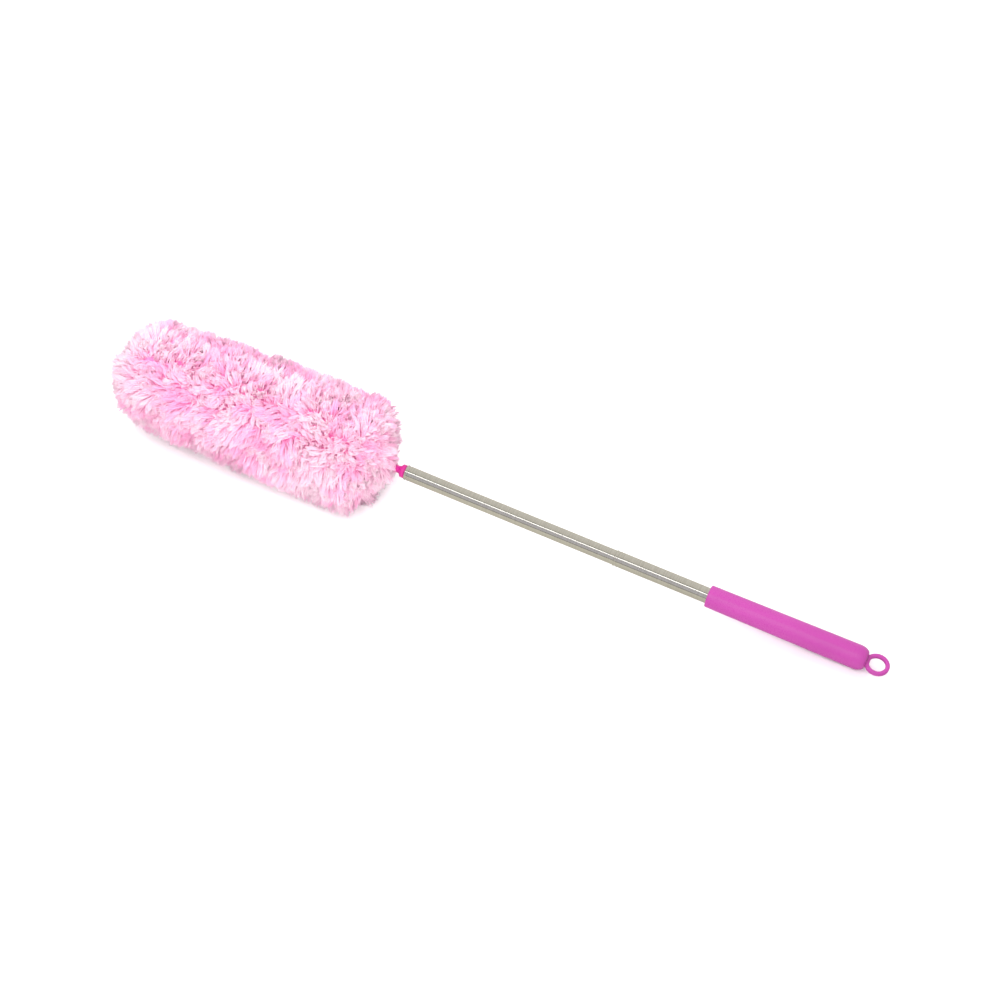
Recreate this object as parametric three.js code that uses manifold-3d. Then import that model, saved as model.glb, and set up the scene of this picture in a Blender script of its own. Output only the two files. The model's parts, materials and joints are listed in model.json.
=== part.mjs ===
// Telescopic feather duster: a plush pile head on a twisted wire core, a neck plug, a pole of three
// steel tubes that slide in each other, and a moulded handle with a hanging ring.
// Millimetres, +Z up. The duster lies on the plane z = 0, on its pile and on the back of its handle.
//
// Every piece is drawn in the pole's own frame: x runs along the pole from the head (-) to the
// hanging ring (+), x = 0 is the middle tube's mouth, and the last lines lay the whole pole down.

import * as THREE from "three";
import { mergeVertices } from "three/addons/utils/BufferGeometryUtils.js";
import Module from "manifold-3d";

const wasm = await Module();
wasm.setup();

// ---------------------------------------------------------------- driving dimensions

// Handle
const HANDLE_LENGTH = 136.6; // from the front edge to where the back begins to round
const HANDLE_FRONT_RADIUS = 9.95;
const HANDLE_REAR_RADIUS = 10.83;
const HANDLE_FRONT_ROUND = 0.9;
const HANDLE_END_LENGTH = 8.8; // the rounded back
const HANDLE_END_RADIUS = 6.2; // its flat end
const HANDLE_SOLID_BACK = 6.6; // from the tubes' stop to where the back begins to round
const STOP_LEDGE = 1; // how far the stop reaches in over the end of the middle tube
const RELIEF_DEPTH = 8; // hollow behind the stop

// Hanging ring
const RING_HOLE_RADIUS = 7.1;
const RING_WIDTH = 3.8; // from the hole to the rim
const RING_THICKNESS = 3.6;
const RING_CHAMFER = 1.0;
const RING_SUNK = 1.3; // how far the rim runs into the handle's flat end

// Pole
const OUTER_TUBE_LENGTH = 218;
const OUTER_TUBE_RADIUS = 7;
const MIDDLE_TUBE_LENGTH = 227;
const TUBE_WALL = 0.2;
const TUBE_GAP = 0.15; // from a tube's bore to the next tube
const MOUTH_LENGTH = 4.6; // the end that is rolled in to guide the next tube
const MOUTH_ROUND = 0.6;
const GROOVE_DEPTH = 0.35; // of the neck that carries the shims
const REAR_RIM = 2.7; // full width behind the neck
const SHOULDER = 0.7; // slope at each end of the neck

// Friction shims
const SHIM_LENGTH = 14;
const SHIM_ANGLE = 170; // degrees of the circle that each of the two covers

// Neck plug
const FLANGE_SET_IN = 0.25; // how much less its radius is than the inner tube's
const FLANGE_LENGTH = 4.2;
const FLANGE_ROUND = 0.7;
const NECK_LENGTH = 13.5;
const NECK_ROOT_RADIUS = 4.4;
const NECK_WALL = 0.8; // round the wires, at the neck's tip
const SHANK_LENGTH = 16; // inside the inner tube
const SHANK_BOTTOM = 1.7; // closes the bore that holds the wires
const SHANK_CHAMFER = 1;

// Wire core
const WIRE_RADIUS = 1;
const WIRE_PITCH = 22; // length of one twist
const CORE_SET_BACK = 21; // from the pile's far end to the core's cap
const CAP_LENGTH = 13;
const CAP_WALL = 1.4;

// Pile
const PILE_LENGTH = 280;
const PILE_NEAR_RADIUS = 56; // by the neck
const PILE_MIDDLE_RADIUS = 54.5;
const PILE_FAR_RADIUS = 51;
const PILE_NEAR_DOME = 30;
const PILE_FAR_DOME = 34;
const PILE_SQUASH = 10.5; // how far the neck end is pressed flat where the duster rests
const PILE_HUB_WALL = 2.5; // the dense root of the pile, round the plug's neck
const RIB_COUNT = 20;
const RIB_THICKNESS = 1.2;

// Clearances
const FIT_GAP = 0.3; // between pieces that touch end to end
const PRESS_GAP = 0.05; // round a piece that is pressed in
const RUN_GAP = 0.05; // round a tube that turns or slides
const SHIM_GAP = 0.03; // from the shims to the bore that they rub in
const WIRE_GAP = 0.1; // between the two wires
const CUT_PAST = 1; // how far a cutting solid runs past the face that it cuts

// Fineness
const ROUND_SIDES = 36;
const PILE_SIDES = 2 * RIB_COUNT;
const WIRE_SIDES = 6;
const STEPS_PER_TWIST = 10;

// ---------------------------------------------------------------- worked-out dimensions

const outerTube = { radius: OUTER_TUBE_RADIUS };
const middleTube = { radius: outerTube.radius - TUBE_WALL - TUBE_GAP };
const innerTube = { radius: middleTube.radius - TUBE_WALL - TUBE_GAP };
const GROOVE_LENGTH = SHIM_LENGTH + 2 * FIT_GAP;
const TAIL_LENGTH = GROOVE_LENGTH + 2 * SHOULDER + REAR_RIM;

// At rest the middle tube is pulled out until its shims meet the rolled mouth of the outer tube.
middleTube.mouth = 0;
middleTube.rear = MIDDLE_TUBE_LENGTH;
outerTube.mouth = middleTube.rear - TAIL_LENGTH - FIT_GAP - MOUTH_LENGTH;
outerTube.rear = outerTube.mouth + OUTER_TUBE_LENGTH;
// The inner tube is pushed in until it almost meets the middle tube's neck.
const FLANGE_BACK = middleTube.mouth - FIT_GAP;
innerTube.mouth = FLANGE_BACK + FIT_GAP;
innerTube.rear = middleTube.rear - TAIL_LENGTH - FIT_GAP;

const STOP_FACE = outerTube.rear + FIT_GAP;
const RELIEF_RADIUS = middleTube.radius - STOP_LEDGE;
const HANDLE_BACK = outerTube.rear + HANDLE_SOLID_BACK;
const HANDLE_FRONT = HANDLE_BACK - HANDLE_LENGTH;
const HANDLE_END = HANDLE_BACK + HANDLE_END_LENGTH;
const RING_OUTER_RADIUS = RING_HOLE_RADIUS + RING_WIDTH;
const RING_CENTRE = HANDLE_END - RING_SUNK + RING_OUTER_RADIUS;

const HELIX_RADIUS = WIRE_RADIUS + WIRE_GAP / 2;
const CORE_RADIUS = HELIX_RADIUS + WIRE_RADIUS;
const CORE_BORE = CORE_RADIUS + FIT_GAP;
const FLANGE_FRONT = FLANGE_BACK - FLANGE_LENGTH;
const FLANGE_RADIUS = innerTube.radius - FLANGE_SET_IN;
const NECK_TIP = FLANGE_FRONT - NECK_LENGTH;
const SHANK_END = FLANGE_BACK + SHANK_LENGTH;
const PILE_NEAR = FLANGE_FRONT - FIT_GAP;
const PILE_FAR = PILE_NEAR - PILE_LENGTH;
const NECK_BORE = NECK_ROOT_RADIUS + FIT_GAP;
const PILE_HUB_RADIUS = NECK_BORE + PILE_HUB_WALL;

const CAP_RADIUS = CORE_BORE + CAP_WALL;
const CAP_FAR = PILE_FAR + CORE_SET_BACK;
const CORE_NEAR = SHANK_END - SHANK_BOTTOM - FIT_GAP;
const CORE_FAR = CAP_FAR + CAP_WALL + FIT_GAP;
const CORE_LENGTH = CORE_NEAR - CORE_FAR;

// The pole leans because the pile holds its front end higher than the handle's back.
const REST_TILT = Math.asin(
  (PILE_NEAR_RADIUS - PILE_SQUASH - HANDLE_REAR_RADIUS) /
    (HANDLE_BACK - PILE_NEAR + PILE_NEAR_DOME),
);

// ---------------------------------------------------------------- shaping helpers

const at = (along, radius) => new THREE.Vector2(radius, along);

// Points of a quarter ellipse in a turned outline, from one angle to another in degrees:
// 0 points away from the axis and 90 towards +x.
function quarter(along, radius, reachAlong, reachOut, from, to, steps = 6) {
  return Array.from({ length: steps + 1 }, (_, i) => {
    const angle = THREE.MathUtils.degToRad(from + ((to - from) * i) / steps);
    return at(along + reachAlong * Math.sin(angle), radius + reachOut * Math.cos(angle));
  });
}

// A solid of revolution about the pole's axis.
function turned(outline, sides = ROUND_SIDES) {
  return new THREE.LatheGeometry(outline, sides).rotateZ(-Math.PI / 2);
}

function solidOf(geometry) {
  const bare = geometry.clone();
  bare.deleteAttribute("normal");
  bare.deleteAttribute("uv");
  const merged = mergeVertices(bare, 1e-4);
  return new wasm.Manifold(
    new wasm.Mesh({
      numProp: 3,
      vertProperties: merged.attributes.position.array,
      triVerts: new Uint32Array(merged.index.array),
    }),
  );
}

function geometryOf(solid) {
  const mesh = solid.getMesh();
  return new THREE.BufferGeometry()
    .setAttribute("position", new THREE.BufferAttribute(mesh.vertProperties, 3))
    .setIndex(new THREE.BufferAttribute(mesh.triVerts, 1));
}

// ---------------------------------------------------------------- handle

function ringGeometry() {
  const half = RING_THICKNESS / 2;
  const inner = RING_HOLE_RADIUS;
  const outer = RING_OUTER_RADIUS;
  const outline = [
    at(-half, inner + RING_CHAMFER),
    at(-half, outer - RING_CHAMFER),
    at(-half + RING_CHAMFER, outer),
    at(half - RING_CHAMFER, outer),
    at(half, outer - RING_CHAMFER),
    at(half, inner + RING_CHAMFER),
    at(half - RING_CHAMFER, inner),
    at(-half + RING_CHAMFER, inner),
    at(-half, inner + RING_CHAMFER),
  ];
  return new THREE.LatheGeometry(outline, ROUND_SIDES)
    .rotateX(Math.PI / 2)
    .translate(RING_CENTRE, 0, 0);
}

function handleGeometry() {
  const front = HANDLE_FRONT + HANDLE_FRONT_ROUND;
  const body = turned([
    at(HANDLE_FRONT, 0),
    ...quarter(
      front,
      HANDLE_FRONT_RADIUS - HANDLE_FRONT_ROUND,
      HANDLE_FRONT_ROUND,
      HANDLE_FRONT_ROUND,
      -90,
      0,
      4,
    ),
    ...quarter(
      HANDLE_BACK,
      HANDLE_END_RADIUS,
      HANDLE_END_LENGTH,
      HANDLE_REAR_RADIUS - HANDLE_END_RADIUS,
      0,
      90,
    ),
    at(HANDLE_END, 0),
  ]);
  const seatRadius = outerTube.radius + PRESS_GAP;
  const seat = turned([
    at(HANDLE_FRONT - CUT_PAST, 0),
    at(HANDLE_FRONT - CUT_PAST, seatRadius),
    at(STOP_FACE, seatRadius),
    at(STOP_FACE, RELIEF_RADIUS),
    at(STOP_FACE + RELIEF_DEPTH, RELIEF_RADIUS),
    at(STOP_FACE + RELIEF_DEPTH, 0),
  ]);
  return geometryOf(solidOf(body).add(solidOf(ringGeometry())).subtract(solidOf(seat)));
}

// ---------------------------------------------------------------- pole

// A thin tube. Its mouth is rolled in where it guides another tube, and it has a neck for the shims
// near its rear end where it slides in one.
function tubeGeometry(tube, { rolledMouth, neck: hasNeck }) {
  const mouthDrop = rolledMouth ? TUBE_GAP - RUN_GAP : 0;
  const outer = tube.radius;
  const bore = tube.radius - TUBE_WALL;
  const neckStart = tube.rear - TAIL_LENGTH;
  const neckEnd = tube.rear - REAR_RIM;
  const neck = (radius) => [
    at(neckStart, radius),
    at(neckStart + SHOULDER, radius - GROOVE_DEPTH),
    at(neckEnd - SHOULDER, radius - GROOVE_DEPTH),
    at(neckEnd, radius),
  ];
  const outside = [
    at(tube.mouth, bore - mouthDrop),
    at(tube.mouth, outer - mouthDrop - TUBE_WALL / 2),
    at(tube.mouth + MOUTH_ROUND, outer - mouthDrop),
    at(tube.mouth + MOUTH_LENGTH - SHOULDER, outer - mouthDrop),
    at(tube.mouth + MOUTH_LENGTH, outer),
    ...(hasNeck ? neck(outer) : []),
    at(tube.rear, outer),
  ];
  const inside = [
    at(tube.rear, bore),
    ...(hasNeck ? neck(bore).reverse() : []),
    at(tube.mouth + MOUTH_LENGTH, bore),
    at(tube.mouth + MOUTH_LENGTH - SHOULDER, bore - mouthDrop),
    at(tube.mouth, bore - mouthDrop),
  ];
  return turned([...outside, ...inside]);
}

// Half of a split liner, which fills the neck of one tube and rubs in the bore of the next one out.
function shimGeometry(tube, side) {
  const inner = tube.radius - GROOVE_DEPTH + RUN_GAP;
  const outer = tube.radius + TUBE_GAP - SHIM_GAP;
  const middle = side * 90;
  const from = THREE.MathUtils.degToRad(middle - SHIM_ANGLE / 2);
  const to = THREE.MathUtils.degToRad(middle + SHIM_ANGLE / 2);
  const outline = new THREE.Shape();
  outline.absarc(0, 0, outer, from, to, false);
  outline.absarc(0, 0, inner, to, from, true);
  outline.closePath();
  const start = tube.rear - REAR_RIM - SHOULDER - FIT_GAP - SHIM_LENGTH;
  return new THREE.ExtrudeGeometry(outline, {
    depth: SHIM_LENGTH,
    steps: 1,
    bevelEnabled: false,
    curveSegments: ROUND_SIDES / 2,
  })
    .rotateX(Math.PI / 2)
    .rotateZ(Math.PI / 2)
    .translate(start, 0, 0);
}

// ---------------------------------------------------------------- neck plug and wire core

function plugGeometry() {
  const shank = innerTube.radius - TUBE_WALL - PRESS_GAP;
  const neckTipRadius = CORE_BORE + NECK_WALL;
  const flangeSide = FLANGE_RADIUS - FLANGE_ROUND;
  return turned([
    at(NECK_TIP, CORE_BORE),
    at(NECK_TIP, neckTipRadius - NECK_WALL / 2),
    at(NECK_TIP + NECK_WALL / 2, neckTipRadius),
    at(FLANGE_FRONT, NECK_ROOT_RADIUS),
    ...quarter(FLANGE_FRONT + FLANGE_ROUND, flangeSide, FLANGE_ROUND, FLANGE_ROUND, -90, 0, 3),
    ...quarter(FLANGE_BACK - FLANGE_ROUND, flangeSide, FLANGE_ROUND, FLANGE_ROUND, 0, 90, 3),
    at(FLANGE_BACK, shank),
    at(SHANK_END - SHANK_CHAMFER, shank),
    at(SHANK_END, shank - SHANK_CHAMFER),
    at(SHANK_END, 0),
    at(CORE_NEAR + FIT_GAP, 0),
    at(CORE_NEAR + FIT_GAP, CORE_BORE),
    at(NECK_TIP, CORE_BORE),
  ]);
}

class Helix extends THREE.Curve {
  constructor(phase) {
    super();
    this.phase = phase;
  }

  getPoint(t, target = new THREE.Vector3()) {
    const along = t * CORE_LENGTH;
    const turn = this.phase + (2 * Math.PI * along) / WIRE_PITCH;
    return target.set(
      CORE_FAR + along,
      HELIX_RADIUS * Math.cos(turn),
      HELIX_RADIUS * Math.sin(turn),
    );
  }
}

function wireGeometry(phase) {
  const corners = Array.from({ length: WIRE_SIDES }, (_, i) => {
    const angle = (2 * Math.PI * i) / WIRE_SIDES;
    return new THREE.Vector2(WIRE_RADIUS * Math.cos(angle), WIRE_RADIUS * Math.sin(angle));
  });
  return new THREE.ExtrudeGeometry(new THREE.Shape(corners), {
    extrudePath: new Helix(phase),
    steps: Math.round((CORE_LENGTH / WIRE_PITCH) * STEPS_PER_TWIST),
    bevelEnabled: false,
  });
}

function capGeometry() {
  return turned(
    [
      ...quarter(CAP_FAR + CAP_RADIUS, 0, CAP_RADIUS, CAP_RADIUS, -90, 0, 5),
      at(CAP_FAR + CAP_LENGTH, CAP_RADIUS),
      at(CAP_FAR + CAP_LENGTH, CORE_BORE),
      at(CORE_FAR - FIT_GAP, CORE_BORE),
      at(CORE_FAR - FIT_GAP, 0),
    ],
    ROUND_SIDES / 2,
  );
}

// ---------------------------------------------------------------- pile

// Pile is mostly air, and it thins out as it spreads from the core, so the solid is a star of thin
// ribs on a hub. The ribs reach the pile's true outline and hold the weight that its fibres have.
function starGeometry() {
  const reach = PILE_NEAR_RADIUS + CUT_PAST;
  const half = RIB_THICKNESS / 2;
  const hub = Math.sqrt(PILE_HUB_RADIUS ** 2 - half ** 2);
  const corners = [];
  for (let rib = 0; rib < RIB_COUNT; rib += 1) {
    const angle = (2 * Math.PI * rib) / RIB_COUNT;
    for (const [out, across] of [
      [hub, -half],
      [reach, -half],
      [reach, half],
      [hub, half],
    ]) {
      corners.push(new THREE.Vector2(out, across).rotateAround(new THREE.Vector2(), angle));
    }
  }
  return new THREE.ExtrudeGeometry(new THREE.Shape(corners), {
    depth: PILE_LENGTH + 2 * CUT_PAST,
    steps: 1,
    bevelEnabled: false,
  })
    .rotateY(Math.PI / 2)
    .translate(PILE_FAR - CUT_PAST, 0, 0);
}

function pileOutlineGeometry() {
  return turned(
    [
      ...quarter(PILE_FAR + PILE_FAR_DOME, 0, PILE_FAR_DOME, PILE_FAR_RADIUS, -90, 0),
      at((PILE_FAR + PILE_NEAR) / 2, PILE_MIDDLE_RADIUS),
      ...quarter(PILE_NEAR - PILE_NEAR_DOME, 0, PILE_NEAR_DOME, PILE_NEAR_RADIUS, 0, 90),
    ],
    PILE_SIDES,
  );
}

function pileBoreGeometry() {
  const capBore = CAP_RADIUS + FIT_GAP;
  const capEnd = CAP_FAR + CAP_LENGTH + FIT_GAP;
  return turned([
    at(PILE_FAR - CUT_PAST, 0),
    at(PILE_FAR - CUT_PAST, capBore),
    at(capEnd, capBore),
    at(capEnd, CORE_BORE),
    at(NECK_TIP - FIT_GAP, CORE_BORE),
    at(NECK_TIP - FIT_GAP, NECK_BORE),
    at(PILE_NEAR + CUT_PAST, NECK_BORE),
    at(PILE_NEAR + CUT_PAST, 0),
  ]);
}

// Everything below the plane that the duster lies on, in the pole's frame.
function belowRestGeometry(restMatrix) {
  const size = 4 * PILE_LENGTH;
  return new THREE.BoxGeometry(size, size, size)
    .translate(0, 0, -size / 2)
    .applyMatrix4(restMatrix.clone().invert());
}

function pileGeometry(restMatrix) {
  return geometryOf(
    solidOf(starGeometry())
      .intersect(solidOf(pileOutlineGeometry()))
      .subtract(solidOf(pileBoreGeometry()))
      .subtract(solidOf(belowRestGeometry(restMatrix))),
  );
}

// ---------------------------------------------------------------- assembly

const finishes = {
  handle_plastic: { color: 0xdb5bc1, roughness: 0.42, metalness: 0 },
  polished_steel: { color: 0xc9c7c2, roughness: 0.16, metalness: 1 },
  spring_brass: { color: 0xc9a45a, roughness: 0.35, metalness: 1 },
  plug_plastic: { color: 0xe8329f, roughness: 0.35, metalness: 0 },
  galvanised_wire: { color: 0xa9acad, roughness: 0.4, metalness: 1 },
  pile_fibre: { color: 0xffa6d8, roughness: 0.95, metalness: 0 },
};

const duster = new THREE.Group();

function addPiece(name, geometry, finish) {
  const mesh = new THREE.Mesh(geometry, new THREE.MeshStandardMaterial(finishes[finish]));
  mesh.name = name;
  duster.add(mesh);
  return mesh;
}

// The tilt, and the height at which the handle's back just touches the plane.
function layDown(handle) {
  const tilt = new THREE.Matrix4().makeRotationY(REST_TILT);
  const tilted = handle.geometry.clone().applyMatrix4(tilt);
  tilted.computeBoundingBox();
  return new THREE.Matrix4().makeTranslation(0, 0, -tilted.boundingBox.min.z).multiply(tilt);
}

const handle = addPiece("handle_grip", handleGeometry(), "handle_plastic");
addPiece(
  "outer_tube",
  tubeGeometry(outerTube, { rolledMouth: true, neck: false }),
  "polished_steel",
);
addPiece(
  "middle_tube",
  tubeGeometry(middleTube, { rolledMouth: true, neck: true }),
  "polished_steel",
);
addPiece(
  "inner_tube",
  tubeGeometry(innerTube, { rolledMouth: false, neck: true }),
  "polished_steel",
);
for (const [section, tube] of [
  ["middle", middleTube],
  ["inner", innerTube],
]) {
  addPiece(`${section}_shim_upper`, shimGeometry(tube, 1), "spring_brass");
  addPiece(`${section}_shim_lower`, shimGeometry(tube, -1), "spring_brass");
}
addPiece("neck_plug", plugGeometry(), "plug_plastic");
addPiece("core_wire_a", wireGeometry(0), "galvanised_wire");
addPiece("core_wire_b", wireGeometry(Math.PI), "galvanised_wire");
addPiece("core_tip_cap", capGeometry(), "plug_plastic");

const restMatrix = layDown(handle);
addPiece("pile", pileGeometry(restMatrix), "pile_fibre");

duster.applyMatrix4(restMatrix);
duster.updateMatrixWorld(true);
const box = new THREE.Box3().setFromObject(duster, true);
duster.position.x -= (box.min.x + box.max.x) / 2;
duster.position.y -= (box.min.y + box.max.y) / 2;

const model = new THREE.Group();
model.add(duster);

export default model;
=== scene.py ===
"""Telescopic duster: plush pile on a wire core, steel tubes and a moulded handle.

Every made piece is drawn in the pole's own frame in millimetres, where x runs along the pole towards
the hanging ring, and is then laid down where the pole lies.
"""

import json
import math

import bpy
import numpy as np
from mathutils import Matrix, Vector, noise


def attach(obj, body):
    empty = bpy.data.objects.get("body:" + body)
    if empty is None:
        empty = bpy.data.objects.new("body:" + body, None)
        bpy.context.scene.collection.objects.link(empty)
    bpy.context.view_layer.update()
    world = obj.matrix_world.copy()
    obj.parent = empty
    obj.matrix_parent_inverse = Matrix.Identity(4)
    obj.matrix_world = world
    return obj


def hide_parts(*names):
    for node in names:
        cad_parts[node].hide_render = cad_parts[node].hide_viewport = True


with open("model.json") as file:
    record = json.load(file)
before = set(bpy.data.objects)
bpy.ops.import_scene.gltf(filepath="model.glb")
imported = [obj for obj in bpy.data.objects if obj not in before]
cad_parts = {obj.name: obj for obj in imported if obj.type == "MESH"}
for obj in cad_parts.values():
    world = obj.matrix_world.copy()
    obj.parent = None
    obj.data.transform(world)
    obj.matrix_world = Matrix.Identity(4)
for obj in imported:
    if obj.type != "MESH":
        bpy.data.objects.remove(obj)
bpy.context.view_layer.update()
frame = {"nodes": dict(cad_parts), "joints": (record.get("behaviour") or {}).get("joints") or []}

# ------------------------------------------------------------------ sizes, in millimetres

MM = 0.001
ROUND_SIDES = 96

TUBE_WALL = 0.2
MOUTH_DROP = 0.1  # how far a rolled mouth comes in
MOUTH_LENGTH = 4.6
MOUTH_CURL = 0.6
# Behind the curl, the beads and the groove that rolling leaves: along, height.
MOUTH_BEADS = ((1.3, 0.3), (1.7, -0.08), (3.1, -0.08), (3.5, 0.24), (4.2, 0.24))
REAR_RIM = 2.7
NECK_SLOPE = 0.7
NECK_DEPTH = 0.35
NECK_LENGTH = 16.0

HANDLE_FRONT_ROUND = 0.9
HANDLE_BACK_ROUND = 8.8
HANDLE_FRONT_RADIUS = 9.95
HANDLE_END_RADIUS = 6.2
SEAT_GAP = 0.05
STOP_LEDGE = 1.35
STOP_DEPTH = 8.0
STOP_BEFORE_BACK = 6.3
SEAT_CHAMFER = 0.35

RING_HOLE_RADIUS = 7.1
RING_WIDTH = 3.8
RING_THICKNESS = 3.6
RING_ROUND = 1.15
RING_SUNK = 1.3  # how far the rim runs into the grip's end
WEB_LENGTH = 4.0  # the web that joins the ring to the grip's end
WEB_WIDTH = 12.4
WEB_SUNK = 1
WEB_ROUND = 0.9

FLANGE_RADIUS = 6.05
FLANGE_LENGTH = 4.2
FLANGE_FRONT_ROUND = 0.9
FLANGE_BACK_ROUND = 0.7
FLANGE_GAP = 0.3  # between the flange and the inner tube's mouth
FLARE_LENGTH = 4.5  # where the plug's cone widens towards its flange
FLARE_RADIUS = 5.3
FLARE_DEPTH = 2.1
CONE_TIP_RADIUS = 2.5
CONE_TIP_ROUND = (0.4, 0.3)  # along, inwards
SHANK_CHAMFER = 1.0

# ------------------------------------------------------------------ the pole's own frame

joints = {joint["name"]: joint for joint in frame["joints"]}
ALONG = Vector(joints["middle_turn"]["axis"]).normalized()
ACROSS = Vector((0, 1, 0))
UP = ALONG.cross(ACROSS)
MOUTH = Vector(joints["inner_turn"]["pos_m"])
POLE = Matrix.Translation(MOUTH) @ Matrix((ALONG, ACROSS, UP)).transposed().to_4x4()
TO_POLE = POLE.inverted()
TILT = math.atan2(-ALONG.z, ALONG.x)


def reach(node):
    """Where a CAD node starts and ends along the pole, and its widest radius, in millimetres."""
    places = [TO_POLE @ vertex.co / MM for vertex in frame["nodes"][node].data.vertices]
    along = [place.x for place in places]
    return min(along), max(along), max(math.hypot(place.y, place.z) for place in places)


# ------------------------------------------------------------------ modelling helpers


def alone(made):
    """Leaves one object selected and active."""
    bpy.ops.object.select_all(action="DESELECT")
    made.select_set(True)
    bpy.context.view_layer.objects.active = made


def lay_down(made):
    """Moves a piece from the pole's frame to where the pole lies, with its place in its mesh."""
    alone(made)
    made.matrix_world = POLE @ made.matrix_world
    bpy.ops.object.transform_apply(location=True, rotation=True, scale=True)
    return made


def quarter(along, radius, reach_along, reach_out, start, end, steps=8):
    """Points of a quarter ellipse of an outline: 0 degrees points out, 90 towards the ring."""
    angles = [math.radians(start + (end - start) * i / steps) for i in range(steps + 1)]
    return [
        (along + reach_along * math.sin(a), radius + reach_out * math.cos(a)) for a in angles
    ]


def turned(name, outline, sides=ROUND_SIDES, sharp=30):
    """Turns an outline of (along, radius) points about the pole's axis into a closed piece."""
    bpy.ops.object.select_all(action="DESELECT")
    bpy.ops.mesh.primitive_plane_add(size=MM)
    made = bpy.context.object
    made.name = made.data.name = name
    bpy.ops.object.mode_set(mode="EDIT")
    bpy.ops.mesh.select_all(action="SELECT")
    bpy.ops.mesh.merge(type="CENTER")
    bpy.ops.transform.translate(value=(outline[0][0] * MM, 0, outline[0][1] * MM))
    here = outline[0]
    for point in outline[1:]:
        step = ((point[0] - here[0]) * MM, 0, (point[1] - here[1]) * MM)
        bpy.ops.mesh.extrude_region_move(TRANSFORM_OT_translate={"value": step})
        here = point
    bpy.ops.mesh.select_all(action="SELECT")
    bpy.ops.mesh.spin(steps=sides, angle=2 * math.pi, center=(0, 0, 0), axis=(1, 0, 0))
    bpy.ops.mesh.select_all(action="SELECT")
    bpy.ops.mesh.remove_doubles(threshold=0.002 * MM)
    bpy.ops.mesh.normals_make_consistent(inside=False)
    bpy.ops.object.mode_set(mode="OBJECT")
    bpy.ops.object.shade_smooth_by_angle(angle=math.radians(sharp))
    return made


def finished(made, material, body, slot, *stands_for):
    """Gives a piece its finish and its body, and lets it stand for its CAD nodes."""
    made.data.materials.clear()
    made.data.materials.append(material)
    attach(made, body)
    if stands_for:
        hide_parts(*stands_for)
    return made


# ------------------------------------------------------------------ material helpers


def linear(code, alpha=1.0):
    """A colour written as an sRGB hex code, as the linear values that the shaders use."""
    parts = [int(code[i : i + 2], 16) / 255 for i in (1, 3, 5)]
    return (
        *((c / 12.92 if c <= 0.04045 else ((c + 0.055) / 1.055) ** 2.4) for c in parts),
        alpha,
    )


def add_node(tree, kind, values=None, links=None, **settings):
    """Adds a node with its own settings, its input values and its links from other sockets."""
    made = tree.nodes.new(kind)
    for name, value in settings.items():
        setattr(made, name, value)
    for socket, value in (values or {}).items():
        made.inputs[socket].default_value = value
    for socket, source in (links or {}).items():
        tree.links.new(source, made.inputs[socket])
    return made


def set_stops(ramp, stops):
    """Writes the (place, colour) stops of a colour ramp."""
    elements = ramp.color_ramp.elements
    while len(elements) < len(stops):
        elements.new(1)
    for element, (place, colour) in zip(elements, stops):
        element.position = place
        element.color = colour
    return ramp


def new_material(name):
    """An empty material: its tree, and the shader that its output shows."""
    made = bpy.data.materials.new(name)
    made.use_nodes = True
    tree = made.node_tree
    tree.nodes.clear()
    shader = add_node(tree, "ShaderNodeBsdfPrincipled")
    add_node(tree, "ShaderNodeOutputMaterial", links={"Surface": shader.outputs["BSDF"]})
    return made, tree, shader


def pole_coordinates(tree, scale):
    """Object coordinates turned so that x runs along the pole, and scaled for a pattern."""
    coordinates = add_node(tree, "ShaderNodeTexCoord")
    return add_node(
        tree,
        "ShaderNodeMapping",
        {"Rotation": (0, -TILT, 0), "Scale": scale},
        {"Vector": coordinates.outputs["Object"]},
    ).outputs["Vector"]


def steel_material():
    """Stainless steel strip, welded into thin tube, drawn, and polished on a turning belt.

    It mirrors in long streaks. The belt leaves faint rings round the tube, about 0.4 mm apart,
    drawn here 1 mm apart so that they show, and wiping leaves slightly duller clouds.
    """
    material, tree, shader = new_material("polished_stainless_tube")
    rings = add_node(
        tree,
        "ShaderNodeTexNoise",
        {"Scale": 1.0, "Detail": 3.0, "Roughness": 0.6},
        {"Vector": pole_coordinates(tree, (1000, 25, 25))},
    )
    clouds = add_node(
        tree,
        "ShaderNodeTexNoise",
        {"Scale": 1.0, "Detail": 2.0},
        {"Vector": pole_coordinates(tree, (30, 60, 60))},
    )
    dullness = add_node(
        tree,
        "ShaderNodeMapRange",
        {"From Min": 0.3, "From Max": 0.7, "To Min": 0.10, "To Max": 0.17},
        {"Value": clouds.outputs["Fac"]},
    )
    tint = set_stops(
        add_node(tree, "ShaderNodeValToRGB", links={"Fac": rings.outputs["Fac"]}),
        [(0.3, linear("#CDCAC3")), (0.7, linear("#DAD8D1"))],
    )
    bump = add_node(
        tree,
        "ShaderNodeBump",
        {"Strength": 0.06, "Distance": 0.05 * MM},
        {"Height": rings.outputs["Fac"]},
    )
    shader.inputs["Metallic"].default_value = 1.0
    tree.links.new(tint.outputs["Color"], shader.inputs["Base Color"])
    tree.links.new(dullness.outputs["Result"], shader.inputs["Roughness"])
    tree.links.new(bump.outputs["Normal"], shader.inputs["Normal"])
    return material


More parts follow.
